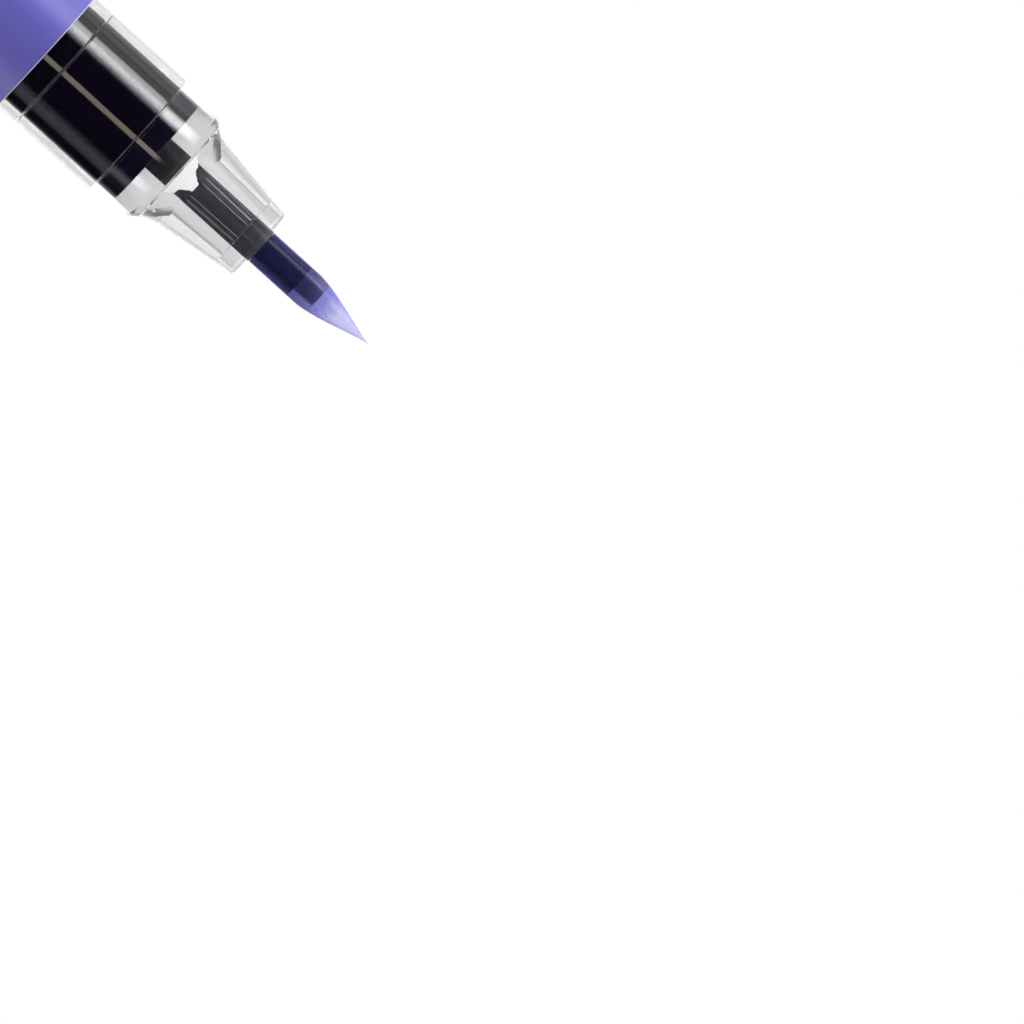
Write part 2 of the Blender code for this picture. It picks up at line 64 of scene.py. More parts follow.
# %% [markdown]
# ## Camera
#
# The photograph looks square at the marker from far away, so its edges run almost parallel. A long lens
# does the same. The marker points down to the right there, so the camera is rolled about its own axis
# instead of tilting the marker. The rings of the joints bow slightly towards the tip, which puts the
# camera a little below them.

# %% Camera
TIP_Z = 156.91
PIXELS_PER_MM = 12.083
IMAGE_PIXELS = 1024
TIP_PIXEL = Vector((369.2, 345.0))
AXIS_ANGLE = math.radians(42.2)
CAMERA_DISTANCE = 2000
CAMERA_Z = 85
SENSOR = 36
FAR_CLIP = 100

image_right = Vector((-math.sin(AXIS_ANGLE), 0, math.cos(AXIS_ANGLE)))
image_down = Vector((math.cos(AXIS_ANGLE), 0, math.sin(AXIS_ANGLE)))
from_tip = (Vector((IMAGE_PIXELS, IMAGE_PIXELS)) / 2 - TIP_PIXEL) / PIXELS_PER_MM
aim = Vector((0, 0, TIP_Z)) + image_right * from_tip.x + image_down * from_tip.y
eye = Vector((aim.x, -CAMERA_DISTANCE, CAMERA_Z))
backward = (eye - aim).normalized()
right = (image_right - backward * image_right.dot(backward)).normalized()

camera_data = bpy.data.cameras.new("camera")
camera_data.sensor_width = SENSOR
camera_data.lens = SENSOR * (eye - aim).length * PIXELS_PER_MM / IMAGE_PIXELS
camera_data.clip_end = FAR_CLIP
camera = bpy.data.objects.new("camera", camera_data)
turn = Matrix((right, backward.cross(right), backward)).transposed()
camera.matrix_world = Matrix.Translation(eye * MM) @ turn.to_4x4()
scene.collection.objects.link(camera)
scene.camera = camera
print("lens, mm:", round(camera_data.lens, 1), "aim, mm:", [round(v, 2) for v in aim])

# %% [markdown]
# ## Writing node trees as sums
#
# Long chains of nodes are hard to read as code. This small class wraps one output socket, so that an
# expression such as `1 - mask * 0.2` adds the Math nodes by itself. Every other node comes from `add`,
# which sets the node's own settings first and then its sockets.

# %% One class for sockets
class Socket:
    """An output socket that adds Math nodes when it takes part in arithmetic."""

    def __init__(self, tree, link=None):
        self.tree = tree
        self.link = link

    def add(self, kind, inputs=None, out=0, stops=None, **settings):
        node = self.tree.nodes.new(kind)
        for name, value in settings.items():
            setattr(node, name, value)
        for i, (place, colour) in enumerate(stops or []):
            steps = node.color_ramp.elements
            step = steps[i] if i < 2 else steps.new(place)
            step.position = place
            step.color = colour
        for key, value in (inputs or {}).items():
            target = self.find(node.inputs, key)
            if isinstance(value, Socket):
                self.tree.links.new(value.link, target)
            else:
                target.default_value = value
        return Socket(self.tree, self.find(node.outputs, out))

    @staticmethod
    def find(sockets, key):
        if isinstance(key, int):
            return sockets[key] if len(sockets) else None
        return next(s for s in sockets if s.enabled and s.name == key)

    def math(self, operation, first, second=0.0):
        return self.add("ShaderNodeMath", {0: first, 1: second}, operation=operation)

    def __add__(self, other):
        return self.math("ADD", self, other)

    def __sub__(self, other):
        return self.math("SUBTRACT", self, other)

    def __rsub__(self, other):
        return self.math("SUBTRACT", other, self)

    def __mul__(self, other):
        return self.math("MULTIPLY", self, other)

    def __truediv__(self, other):
        return self.math("DIVIDE", self, other)

    def __abs__(self):
        return self.math("ABSOLUTE", self)

    def __lt__(self, other):
        return self.math("LESS_THAN", self, other)

    def __gt__(self, other):
        return self.math("GREATER_THAN", self, other)

    __radd__ = __add__
    __rmul__ = __mul__


def between(value, low, high, start=0.0, end=1.0):
    """A smooth step of a value, from start at low to end at high."""
    limits = {"From Min": low, "From Max": high, "To Min": start, "To Max": end}
    return value.add(
        "ShaderNodeMapRange", {"Value": value, **limits}, interpolation_type="SMOOTHSTEP"
    )


def near(value, centre, edge, full=0.0):
    """One within a distance of a centre, falling to zero at the edge."""
    return between(abs(value - centre), edge, full)


def blend(mask, first, second):
    """One of two colours, or their mix, by a mask."""
    return mask.add(
        "ShaderNodeMix", {"Factor": mask, "A": first, "B": second}, "Result", data_type="RGBA"
    )


print("Socket adds", bpy.types.ShaderNodeMath.bl_rna.name, "nodes")

# %% [markdown]
# ## Studio
#
# The photograph has a white wall behind the marker, a tall softbox on one side, a weak fill on the other
# and a dark room in front. The dark room matters: it keeps the black housing black behind the clear
# plastic. The whole room is the world's colour, worked out from the heading of a ray. Light Path tells how
# the ray came there. Bearings are in degrees round the marker: 0 is towards the camera, 90 is towards +X.

# %% World: where a ray goes and how it came
world = bpy.data.worlds.new("studio")
scene.world = world
world.use_nodes = True
world.node_tree.nodes.clear()
sky = Socket(world.node_tree)
heading = sky.add("ShaderNodeTexCoord", out="Generated")
side, depth, height = (sky.add("ShaderNodeSeparateXYZ", {"Vector": heading}, axis) for axis in "XYZ")
bearing = sky.math("ARCTAN2", side, 0 - depth) * (180 / math.pi)
seen = sky.add("ShaderNodeLightPath", out="Is Camera Ray")
passing = sky.add("ShaderNodeLightPath", out="Is Transmission Ray")
scattered = sky.add("ShaderNodeLightPath", out="Is Diffuse Ray")
crossings = sky.add("ShaderNodeLightPath", out="Transmission Depth")
reflected = sky.add("ShaderNodeLightPath", out="Glossy Depth")
straight = reflected < 0.5
print("ways of a ray:", [node.name for node in world.node_tree.nodes if node.type == "LIGHT_PATH"])

# %% [markdown]
# Each card or lamp of the room is a strip between two bearings with soft edges. The grey card has two seams,
# which draw the streaks on the upper side of the housing. The fin card is so thin that it shows only as a
# fine light line in an upper fin of the nose.

# %% World: the room
DARK_ROOM = 0.012
WALL_RIGHT = (138, 150)
WALL_LEFT = (-120, -138)
PASSING_SHIFT = 18
LAMP_HEIGHT = (0.15, 0.62, 0.5)
KEY_BEARINGS = (-47.7, -63.7, -70.7, -79.7)
KEY_LEVEL = 7.5
GREY_BEARINGS = (-76, -84, -104, -126)
GREY_LEVEL = 0.9
SEAM_REACH = 8
FIRST_SEAM = (-87, 0.6)
SECOND_SEAM = (-105, 0.4)
FILL_BEARINGS = (66, 80, 84, 96)
FILL_LEVEL = 0.55
FIN_CARD = (107, 7, 3)
FIN_CARD_HEIGHT = (0, 0.016, 0.010)
FIN_CARD_LEVEL = 0.8
CEILING = (0.45, 0.9)
CEILING_LEVEL = 0.9


def strip(bearings, level):
    """Light of a level, rising between the first two bearings and falling between the last two."""
    start, full, fading, end = bearings
    return between(bearing, start, full) * between(bearing, end, fading) * level


def seam(place, depth):
    """A dark seam at a bearing, with the share of light that it takes."""
    return near(bearing, place, SEAM_REACH) * depth


wall = between(bearing - passing * PASSING_SHIFT, *WALL_RIGHT) + between(bearing, *WALL_LEFT)
upright = near(height, *LAMP_HEIGHT)
key = strip(KEY_BEARINGS, KEY_LEVEL) * upright
grey_card = strip(GREY_BEARINGS, GREY_LEVEL) * (1 - seam(*FIRST_SEAM) - seam(*SECOND_SEAM))
fill = strip(FILL_BEARINGS, FILL_LEVEL) * upright
fin_card = near(bearing, *FIN_CARD) * near(height, *FIN_CARD_HEIGHT) * FIN_CARD_LEVEL
ceiling = between(height, *CEILING, 0, CEILING_LEVEL)
studio = sky.math("MAXIMUM", key + grey_card + fill + fin_card + wall, ceiling)
studio = sky.math("MAXIMUM", studio, DARK_ROOM)
print("room nodes:", len(world.node_tree.nodes))

# %% [markdown]
# A ray that only passed through clear plastic sees a pale surrounding from any side, so the nose looks clear
# in every view. One that crossed many walls through a fin sees a second, brighter card. A ray that was
# turned inside a clear wall sees a pale room with a grey shade over the tip, which gives the sloping walls
# their soft grey bands.

# %% World: light through clear plastic
SEE_THROUGH = 0.7
FIN_GLOW = (-143, 4, 2)
FIN_GLOW_LEVEL = 2
TURNED_GREY = 0.22
TURNED_PALE = 1.0
SHADE_LOW = (0.04, 0.10)
SHADE_HIGH = (0.85, 0.45)
SHADE_ASIDE = (147, 138)
ASIDE_SHARE = 0.6
IN_WALL_RIGHT = (130, 136)
IN_WALL_LEFT = (-95, -115)
STEEP = 0.2

white = sky.math("MAXIMUM", seen, passing * straight * SEE_THROUGH)
level = studio + (1 - studio) * white
through_fin = passing * straight * (crossings > 5.5)
level = level + through_fin * near(bearing, *FIN_GLOW) * FIN_GLOW_LEVEL
turned_up = between(height, *SHADE_LOW) * between(height, *SHADE_HIGH)
turned_aside = between(abs(bearing), *SHADE_ASIDE) * ASIDE_SHARE
shaded = sky.math("MAXIMUM", turned_up, turned_aside)
turned_level = TURNED_PALE + shaded * (TURNED_GREY - TURNED_PALE)
in_wall = (crossings < 2.5) * (between(bearing, *IN_WALL_RIGHT) + between(bearing, *IN_WALL_LEFT))
in_plastic = passing * (1 - straight) * sky.math("MAXIMUM", in_wall, abs(height) > STEEP)
level = level + (turned_level - level) * in_plastic
print("nodes with clear plastic:", len(world.node_tree.nodes))

# %% [markdown]
# Light from both sides reaches only the rays that leave a matt surface. It lifts the film's colours, and
# leaves no second highlight on the gloss. One lamp, a narrow warm strip in front, draws the thin line along
# the housing.

# %% World: light on matt surfaces
WARM = (1, 0.9, 0.72)
WARM_SIDE = (88, 18, 10)
WARM_LEVEL = 10
COOL_SIDE = (-95, 18, 10)
COOL_LEVEL = 9
SIDE_HEIGHT = (0, 0.31, 0.19)

matt = scattered * near(height, *SIDE_HEIGHT)
warm_side = near(bearing, *WARM_SIDE) * matt
cool_side = near(bearing, *COOL_SIDE) * matt
level = level + warm_side * WARM_LEVEL + cool_side * COOL_LEVEL
tint = blend(warm_side, (1, 1, 1, 1), (*WARM, 1))
backdrop = sky.add("ShaderNodeBackground", {"Color": tint, "Strength": level})
sky.add("ShaderNodeOutputWorld", {"Surface": backdrop})
print("world nodes:", len(world.node_tree.nodes))

# %% Warm strip
STRIP_BEARING = math.radians(7)
STRIP_DISTANCE = 400
STRIP_Z = 88.2
STRIP_WIDTH = 60
STRIP_TALL = 110
STRIP_RADIANCE = 1.5
POWER_PER_RADIANCE = 4

lamp = bpy.data.lights.new("warm_strip", "AREA")
lamp.shape = "RECTANGLE"
lamp.size = STRIP_WIDTH * MM
lamp.size_y = STRIP_TALL * MM
lamp.energy = POWER_PER_RADIANCE * STRIP_RADIANCE * lamp.size * lamp.size_y
lamp.color = WARM
warm_strip = bpy.data.objects.new("warm_strip", lamp)
outward = Vector((math.sin(STRIP_BEARING), -math.cos(STRIP_BEARING), 0))
warm_strip.location = (outward * STRIP_DISTANCE + Vector((0, 0, STRIP_Z))) * MM
warm_strip.rotation_euler = (-outward).to_track_quat("-Z", "Y").to_euler()
warm_strip.visible_camera = False
scene.collection.objects.link(warm_strip)

# %% [markdown]
# ## Lathe
#
# A turned piece is a half outline swept round the axis. The outline is a chain of points, and the tree
# lays a grid over it: one way the grid counts points of the outline, the other way it goes round. Ribs in
# a bore are the same sweep with a smaller radius wherever a rib stands, in two opposite pairs. That keeps
# the clear plastic one body. Separate rib blocks would leave false surfaces inside it, and light would show
# them.

# %% Trees for shapes
def shape_tree(name, base, kinds):
    """A tree that makes a shape: the tree, its node maker and its inputs by name."""
    tree = bpy.data.node_groups.new(name, "GeometryNodeTree")
    for key, kind in {base: "Geometry", **kinds, "Finish": "Material"}.items():
        tree.interface.new_socket(key, in_out="INPUT", socket_type="NodeSocket" + kind)
    tree.interface.new_socket("Piece", in_out="OUTPUT", socket_type="NodeSocketGeometry")
    source = tree.nodes.new("NodeGroupInput")
    return tree, Socket(tree), {s.name: Socket(tree, s) for s in source.outputs if s.name}


def end_tree(tree, nodes, shape, finish):
    """Ends a tree with real geometry in its finish."""
    whole = nodes.add("GeometryNodeRealizeInstances", {"Geometry": shape})
    finished = nodes.add("GeometryNodeSetMaterial", {"Geometry": whole, "Material": finish})
    tree.links.new(finished.link, tree.nodes.new("NodeGroupOutput").inputs[0])


print("each tree takes a base shape and a finish")

# %% Lathe tree
MERGE = 1e-7
RIB_SIZES = (
    "Rib Width", "Rib Turn", "Rib Spread", "Rib Crest", "Rib Draft", "Rib Low", "Rib High", "Rib Bore"
)


def lathe_tree():
    kinds = {"Sides": "Int", **dict.fromkeys(RIB_SIZES, "Float")}
    tree, nodes, given = shape_tree("lathe", "Outline", kinds)
    count = nodes.add("GeometryNodeAttributeDomainSize", {"Geometry": given["Outline"]}, "Point Count")
    grid = nodes.add("GeometryNodeMeshGrid", {
        "Size X": 1.0,
        "Size Y": 1.0,
        "Vertices X": given["Sides"] + 1,
        "Vertices Y": count,
    }, "Mesh")
    spot = nodes.add("GeometryNodeInputPosition")
    angle = (nodes.add("ShaderNodeSeparateXYZ", {"Vector": spot}, "X") + 0.5) * math.tau
    row = (nodes.add("ShaderNodeSeparateXYZ", {"Vector": spot}, "Y") + 0.5) * (count - 1)
    corner = nodes.add("GeometryNodeSampleIndex", {
        "Geometry": given["Outline"],
        "Value": spot,
        "Index": nodes.math("ROUND", row),
    }, "Value", data_type="FLOAT_VECTOR")
    radius = nodes.add("ShaderNodeSeparateXYZ", {"Vector": corner}, "X")
    height = nodes.add("ShaderNodeSeparateXYZ", {"Vector": corner}, "Z")
    half_turns = nodes.math("FRACT", (angle - given["Rib Turn"]) / math.pi + 0.5)
    from_pair = abs(half_turns - 0.5) * math.pi
    on_rib = abs(from_pair - given["Rib Spread"]) < given["Rib Width"] / 2
    in_zone = (height > given["Rib Low"]) * (height < given["Rib High"])
    on_rib = on_rib * in_zone * (radius < given["Rib Bore"])
    crest = given["Rib Crest"] + (given["Rib High"] - height) * given["Rib Draft"]
    radius = radius + (crest - radius) * on_rib
    place = nodes.add("ShaderNodeCombineXYZ", {
        "X": radius * nodes.math("COSINE", angle),
        "Y": radius * nodes.math("SINE", angle),
        "Z": height,
    })
    shaped = nodes.add("GeometryNodeSetPosition", {"Geometry": grid, "Position": place})
    closed = nodes.add("GeometryNodeMergeByDistance", {"Geometry": shaped, "Distance": MERGE})
    smooth = nodes.add("GeometryNodeSetShadeSmooth", {"Geometry": closed})
    end_tree(tree, nodes, smooth, given["Finish"])
    return tree


LATHE = lathe_tree()
print("lathe nodes:", len(LATHE.nodes))

# %% [markdown]
# An outline is written as corners of radius and height, with a third number where a corner is rounded.
# Moulded plastic has no truly sharp corners, and each small round gives the light an edge to catch.
# Smooth shading would spread the bend of a round along the whole straight beside it, and reflections would
# slide away. A point close to each end of a straight holds it flat.

# %% Outlines and turning
ROUND_STEPS = 5
HOLD = 0.04
SHARP_ANGLE = math.radians(35)


def corner_arc(before, corner, after, radius):
    back = (Vector(before) - Vector(corner)).normalized()
    ahead = (Vector(after) - Vector(corner)).normalized()
    half = back.angle(ahead) / 2
    centre = Vector(corner) + (back + ahead).normalized() * (radius / math.sin(half))
    first = Vector(corner) + back * (radius / math.tan(half)) - centre
    last = Vector(corner) + ahead * (radius / math.tan(half)) - centre
    sweep = first.angle_signed(last)
    steps = [sweep * i / ROUND_STEPS for i in range(ROUND_STEPS + 1)]
    return [tuple(centre + Matrix.Rotation(-step, 2) @ first) for step in steps]


def rounded(outline):
    points = []
    for i, (x, z, *radius) in enumerate(outline):
        if radius:
            after = outline[(i + 1) % len(outline)][:2]
            points += corner_arc(outline[i - 1][:2], (x, z), after, radius[0])
        else:
            points.append((x, z))
    return points


def held(points):
    """Adds a point close to both ends of each longer straight."""
    result = points[:1]
    for before, after in zip(points, points[1:]):
        start, end = Vector(before), Vector(after)
        if (end - start).length > 4 * HOLD:
            step = (end - start).normalized() * HOLD
            result += [tuple(start + step), tuple(end - step)]
        result.append(after)
    return result


def settle(piece):
    """Makes a piece's modifiers plain mesh, with doubles merged and faces turned out."""
    graph = bpy.context.evaluated_depsgraph_get()
    mesh = bpy.data.meshes.new_from_object(piece.evaluated_get(graph))
    piece.modifiers.clear()
    piece.data = mesh
    shape = bmesh.new()
    shape.from_mesh(mesh)
    bmesh.ops.remove_doubles(shape, verts=shape.verts, dist=MERGE)
    bmesh.ops.recalc_face_normals(shape, faces=shape.faces)
    if shape.calc_volume(signed=True) < 0:
        bmesh.ops.reverse_faces(shape, faces=shape.faces)
    shape.to_mesh(mesh)
    shape.free()
    mesh.shade_smooth()
    mesh.set_sharp_from_angle(angle=SHARP_ANGLE)
    return piece


def finish_with(piece, *finishes):
    """Gives a piece its finishes, with the first one on every face."""
    piece.data.materials.clear()
    for finish in finishes:
        piece.data.materials.append(finish)
    for face in piece.data.polygons:
        face.material_index = 0
    return piece


def shaped_by(tree, mesh, finish, values):
    """A piece that a tree makes from a mesh, with values for the tree's inputs by name."""
    piece = bpy.data.objects.new(mesh.name, mesh)
    scene.collection.objects.link(piece)
    maker = piece.modifiers.new(tree.name, "NODES")
    maker.node_group = tree
    given = {**values, "Finish": finish}
    for item in tree.interface.items_tree:
        if item.name in given:
            maker[item.identifier] = given[item.name]
    return finish_with(settle(piece), finish)


def turned(name, outline, datum, finish, sides=160, **ribs):
    """A piece turned on the lathe from a half outline above a datum height."""
    points = rounded(outline)
    if points[0][0] > 0:
        points.append(points[0])
    points = held(points)
    mesh = bpy.data.meshes.new(name)
    chain = [(i, i + 1) for i in range(len(points) - 1)]
    mesh.from_pydata([(x * MM, 0, (z + datum) * MM) for x, z in points], chain, [])
    return shaped_by(LATHE, mesh, finish, {"Sides": sides, **ribs})


def dress(piece, body, slot, *nodes):
    """Lets a piece ride on a body in place of CAD nodes."""
    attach(piece, body)
    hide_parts(*nodes)
    print(piece.name, "on", body, "with", len(piece.data.polygons), "faces")


print("a round has", ROUND_STEPS, "steps")

# %% [markdown]
# ## Materials: a start
#
# Each finish starts from one Principled shader. What is the same all over is set on the shader itself, and
# what varies, such as colour, roughness and fine relief, comes from noise in the marker's own coordinates.

# %% A finish and its noise
def new_finish(name, **constants):
    """A material, its node maker and its shader, with the shader's constant sockets set."""
    made = bpy.data.materials.new(name)
    made.use_nodes = True
    shader = made.node_tree.nodes["Principled BSDF"]
    for key, value in constants.items():
        shader.inputs[key.replace("_", " ").title().replace("Ior", "IOR")].default_value = value
    return made, Socket(made.node_tree), shader


def feed(shader, **links):
    """Links varying values to a shader's sockets."""
    for key, value in links.items():
        value.tree.links.new(value.link, shader.inputs[key.replace("_", " ").title()])


def noise(nodes, size, stretch=1.0, detail=3.0, roughness=0.5):
    """Noise whose spots are about a size in millimetres, drawn out along the axis by a factor."""
    place = nodes.add("ShaderNodeTexCoord", out="Object")
    scaled = nodes.add("ShaderNodeMapping", {
        "Vector": place,
        "Scale": (1 / (size * MM), 1 / (size * MM), 1 / (size * stretch * MM)),
    })
    return nodes.add("ShaderNodeTexNoise", {
        "Vector": scaled,
        "Scale": 1.0,
        "Detail": detail,
        "Roughness": roughness,
    }, "Fac")


def axis_height(nodes):
    """Height up the marker in millimetres."""
    place = nodes.add("ShaderNodeTexCoord", out="Object")
    return nodes.add("ShaderNodeSeparateXYZ", {"Vector": place}, "Z") / MM


def relief(nodes, pattern, depth):
    """A bump of a depth in millimetres."""
    sizes = {"Height": pattern, "Distance": depth * MM, "Strength": 1.0}
    return nodes.add("ShaderNodeBump", sizes, "Normal")


print("finishes use", ", ".join(("Base Color", "Roughness", "Normal")))

# %% [markdown]
# ## Floor
#
# A plain pale sheet, just large enough for every view, with a trace of tone so that it is not dead flat.

# %% Floor
FLOOR_HALF = 2200
floor_finish, nodes, shader = new_finish("pale_floor", roughness=0.7)
tone = noise(nodes, 60, detail=2.0)
feed(shader, base_color=blend(tone, (0.88, 0.88, 0.88, 1), (0.92, 0.92, 0.92, 1)))
floor_mesh = bpy.data.meshes.new("floor")
reach = FLOOR_HALF * MM
floor_mesh.from_pydata(
    [(-reach, -reach, 0), (reach, -reach, 0), (reach, reach, 0), (-reach, reach, 0)], [], [(0, 1, 2, 3)]
)
floor_mesh.materials.append(floor_finish)
floor = bpy.data.objects.new("floor", floor_mesh)
scene.collection.objects.link(floor)
print("floor, m:", 2 * reach)

# %% [markdown]
# ## Barrel film
#
# The lavender colour is a printed film in a shallow recess of the clear barrel. It is satin, with a fine
# grain and faint streaks along its length, and the ink stops just short of its cut edges, which show pale.

# %% Film
TUBE_Z = 33.35
TUBE_LENGTH = 89.4
BARREL_RADIUS = 6.0
BORE_RADIUS = 5.2
FILM_INNER = 5.8
FILM_LOW = 1.55
FILM_HIGH = TUBE_LENGTH - 1.91
CUT_EDGE = 0.1
FILM_EDGE = 0.05

film, nodes, shader = new_finish("lavender_film", ior=1.5)
streaks = noise(nodes, 0.9, stretch=14)
grain = noise(nodes, 0.12, detail=2.0)
clouds = noise(nodes, 5, stretch=3, detail=2.0)
ink = blend(streaks * 0.5 + clouds * 0.5, (0.115, 0.101, 0.480, 1), (0.138, 0.126, 0.550, 1))
film_middle = TUBE_Z + (FILM_LOW + FILM_HIGH) / 2
half_film = (FILM_HIGH - FILM_LOW) / 2
from_middle = abs(axis_height(nodes) - film_middle)
cut = between(from_middle, half_film - CUT_EDGE, half_film - CUT_EDGE / 2)
feed(
    shader,
    base_color=blend(cut, ink, (0.62, 0.6, 0.9, 1)),
    roughness=0.30 + grain * 0.12 + streaks * 0.06,
    normal=relief(nodes, grain * 0.6 + streaks * 0.4, 0.004),
)
barrel_film = turned("barrel_film", [
    (FILM_INNER, FILM_LOW),
    (BARREL_RADIUS, FILM_LOW, FILM_EDGE),
    (BARREL_RADIUS, FILM_HIGH, FILM_EDGE),
    (FILM_INNER, FILM_HIGH),
], TUBE_Z, film, 192)
dress(barrel_film, "barrel", "lavender_film", "barrel_sleeve")

# %% [markdown]
# ## Clear mouldings
#
# The barrel tube and the front section are clear plastic. Their look comes almost wholly from their shape:
# the thick walls bend what lies behind them, so the inner surfaces are as carefully made as the outer ones.
# The front section is the hardest piece. Its inside is a wide chamber, a funnel, a bore with fins that
# guide the tip's holder, and a wider mouth at the front. The fins are low, because tall ones would act as
# lenses and bend the holder's straight outline. A small step where the funnel starts shows as a fine ring.

# %% Clear plastic
SHOULDER_Z = 131.05
GREY_TO_CLEAR = (-0.1, 0.1)
COATED_TO_BARE = (2.2, 4.0)
LIP_STARTS = (13.0, 13.2)

clear, nodes, shader = new_finish(
    "clear_plastic",
    transmission_weight=1.0,
    ior=1.15,
    coat_ior=1.5,
    coat_roughness=0.02,
)
handling = noise(nodes, 1.6, stretch=2, detail=4.0)
up = axis_height(nodes) - SHOULDER_Z
# Behind the shoulder the clear plastic has a greyer tint than the seat and nose in front of it.
grey_grip = blend(handling, (0.55, 0.55, 0.56, 1), (0.59, 0.59, 0.60, 1))
bright = blend(handling, (0.79, 0.795, 0.80, 1), (0.82, 0.825, 0.83, 1))
# The lip at the front is painted clearer still: painted light, standing in for the short path that light
# takes through its thin rim.
bright = blend(between(up, *LIP_STARTS), bright, (0.93, 0.93, 0.935, 1))
feed(
    shader,
    base_color=blend(between(up, *GREY_TO_CLEAR), grey_grip, bright),
    roughness=0.008 + handling * 0.012,
    coat_weight=between(up, *COATED_TO_BARE, 1, 0.15),
    normal=relief(nodes, noise(nodes, 4, stretch=2, detail=1.0), 0.0001),
)
print("clear plastic nodes:", len(clear.node_tree.nodes))

# %% Barrel tube
EDGE = 0.12
RECESS = 5.75
FILM_GAP = 0.05
barrel_clear = turned("barrel_clear", [
    (BORE_RADIUS, 0),
    (BARREL_RADIUS, 0, EDGE),
    (BARREL_RADIUS, FILM_LOW - FILM_GAP),
    (RECESS, FILM_LOW - FILM_GAP),
    (RECESS, FILM_HIGH + FILM_GAP),
    (BARREL_RADIUS, FILM_HIGH + FILM_GAP),
    (BARREL_RADIUS, TUBE_LENGTH, EDGE),
    (BORE_RADIUS, TUBE_LENGTH),
], TUBE_Z, clear, 192)
dress(barrel_clear, "barrel", "clear_plastic", "barrel_tube")

# %% Front section: sizes
GRIP_REAR = -8.25
SEAT_RADIUS = 5.535
SEAT_FRONT = 3.95
NOSE_ROOT_RADIUS = 4.43
NOSE_ROOT = 5.2
NOSE_BLEND = 2.5
NOSE_RADIUS = 3.25
NOSE_LENGTH = 13.5
LIP_RADIUS = 3.1
LIP_DEPTH = 0.24
MOUTH_RADIUS = 2.98
MOUTH_REAR = 11.75
BORE_REAR = 2.86
BORE_FRONT = 2.65
CHAMBER_FRONT = 3.82
FUNNEL_RADIUS = 4.35
FUNNEL_REAR = 4.52
FUNNEL_FRONT = 6.25
FUNNEL_ROUND = 0.3
STEP_WIDTH = 0.4
STEP_HEIGHT = 0.14
STEP_ROUND = 0.1
FINE_ROUND = 0.05
FIN_LOW = 6.5
FIN_HIGH = 11.6
FIN_CREST = 2.36
FIN_DRAFT = 0.038
FIN_WIDTH = math.radians(10.2)
FIN_TURN = math.radians(1.7)
FIN_SPREAD = math.radians(19.8)
FIN_MARGIN = 0.01
BORE_LIMIT = 3.6
SHORT = 0.03


def bore_at(height):
    """Radius of the nose's tapered bore at a height above the shoulder."""
    return BORE_REAR + (BORE_FRONT - BORE_REAR) * (height - FUNNEL_FRONT) / (MOUTH_REAR - FUNNEL_FRONT)


print("bore at the fins, mm:", [round(bore_at(height), 3) for height in (FIN_LOW, FIN_HIGH)])

# %% Front section
front_clear = turned("front_clear", [
    (BORE_RADIUS, GRIP_REAR),
    (BARREL_RADIUS, GRIP_REAR, EDGE),
    (BARREL_RADIUS, 0, EDGE),
    (SEAT_RADIUS, 0, 0.06),
    (SEAT_RADIUS, SEAT_FRONT, 0.5),
    (NOSE_ROOT_RADIUS, NOSE_ROOT, NOSE_BLEND),
    (NOSE_RADIUS, NOSE_LENGTH, 0.13),
    (LIP_RADIUS, NOSE_LENGTH),
    (MOUTH_RADIUS, NOSE_LENGTH - LIP_DEPTH),
    (MOUTH_RADIUS, MOUTH_REAR, FINE_ROUND),
    (BORE_FRONT, MOUTH_REAR, FINE_ROUND),
    (bore_at(FIN_HIGH + SHORT), FIN_HIGH + SHORT),
    (bore_at(FIN_HIGH), FIN_HIGH),
    (bore_at(FIN_LOW), FIN_LOW),
    (bore_at(FIN_LOW - SHORT), FIN_LOW - SHORT),
    (BORE_REAR, FUNNEL_FRONT, FUNNEL_ROUND),
    (FUNNEL_RADIUS, FUNNEL_REAR, STEP_ROUND),
    (FUNNEL_RADIUS + STEP_WIDTH, FUNNEL_REAR - STEP_HEIGHT, STEP_ROUND),
    (BORE_RADIUS, CHAMBER_FRONT, EDGE),
], SHOULDER_Z, clear, 360, **{
    "Rib Width": FIN_WIDTH,
    "Rib Turn": math.pi / 2 + FIN_TURN,
    "Rib Spread": FIN_SPREAD,
    "Rib Crest": FIN_CREST * MM,
    "Rib Draft": FIN_DRAFT,
    "Rib Low": (SHOULDER_Z + FIN_LOW - FIN_MARGIN) * MM,
    "Rib High": (SHOULDER_Z + FIN_HIGH + FIN_MARGIN) * MM,
    "Rib Bore": BORE_LIMIT * MM,
})
dress(front_clear, "barrel", "clear_plastic", "front_section")

# %% [markdown]
# ## Guide collar
#
# Behind the fins a white ring shows in front of the dark holder, square at its rear edge and with a tongue
# between the fins of each pair. It starts as a turned sleeve. Then its front rim is lowered by a rule that
# counts how far round each point lies from the nearest tongue.

# %% Guide collar
GUIDE_RADIUS = 1.62
COLLAR_RADIUS = 2.2
COLLAR_FRONT_RADIUS = 1.8
COLLAR_REAR = 4.47
COLLAR_SHOULDER = 5.51
COLLAR_FRONT = 6.39
COLLAR_TONGUE = math.radians(9)
COLLAR_SPREAD = math.radians(40)
RIM_DROP = 0.95
SIDE_DROP = 0.75
SIDE_SLOPE = 1.6
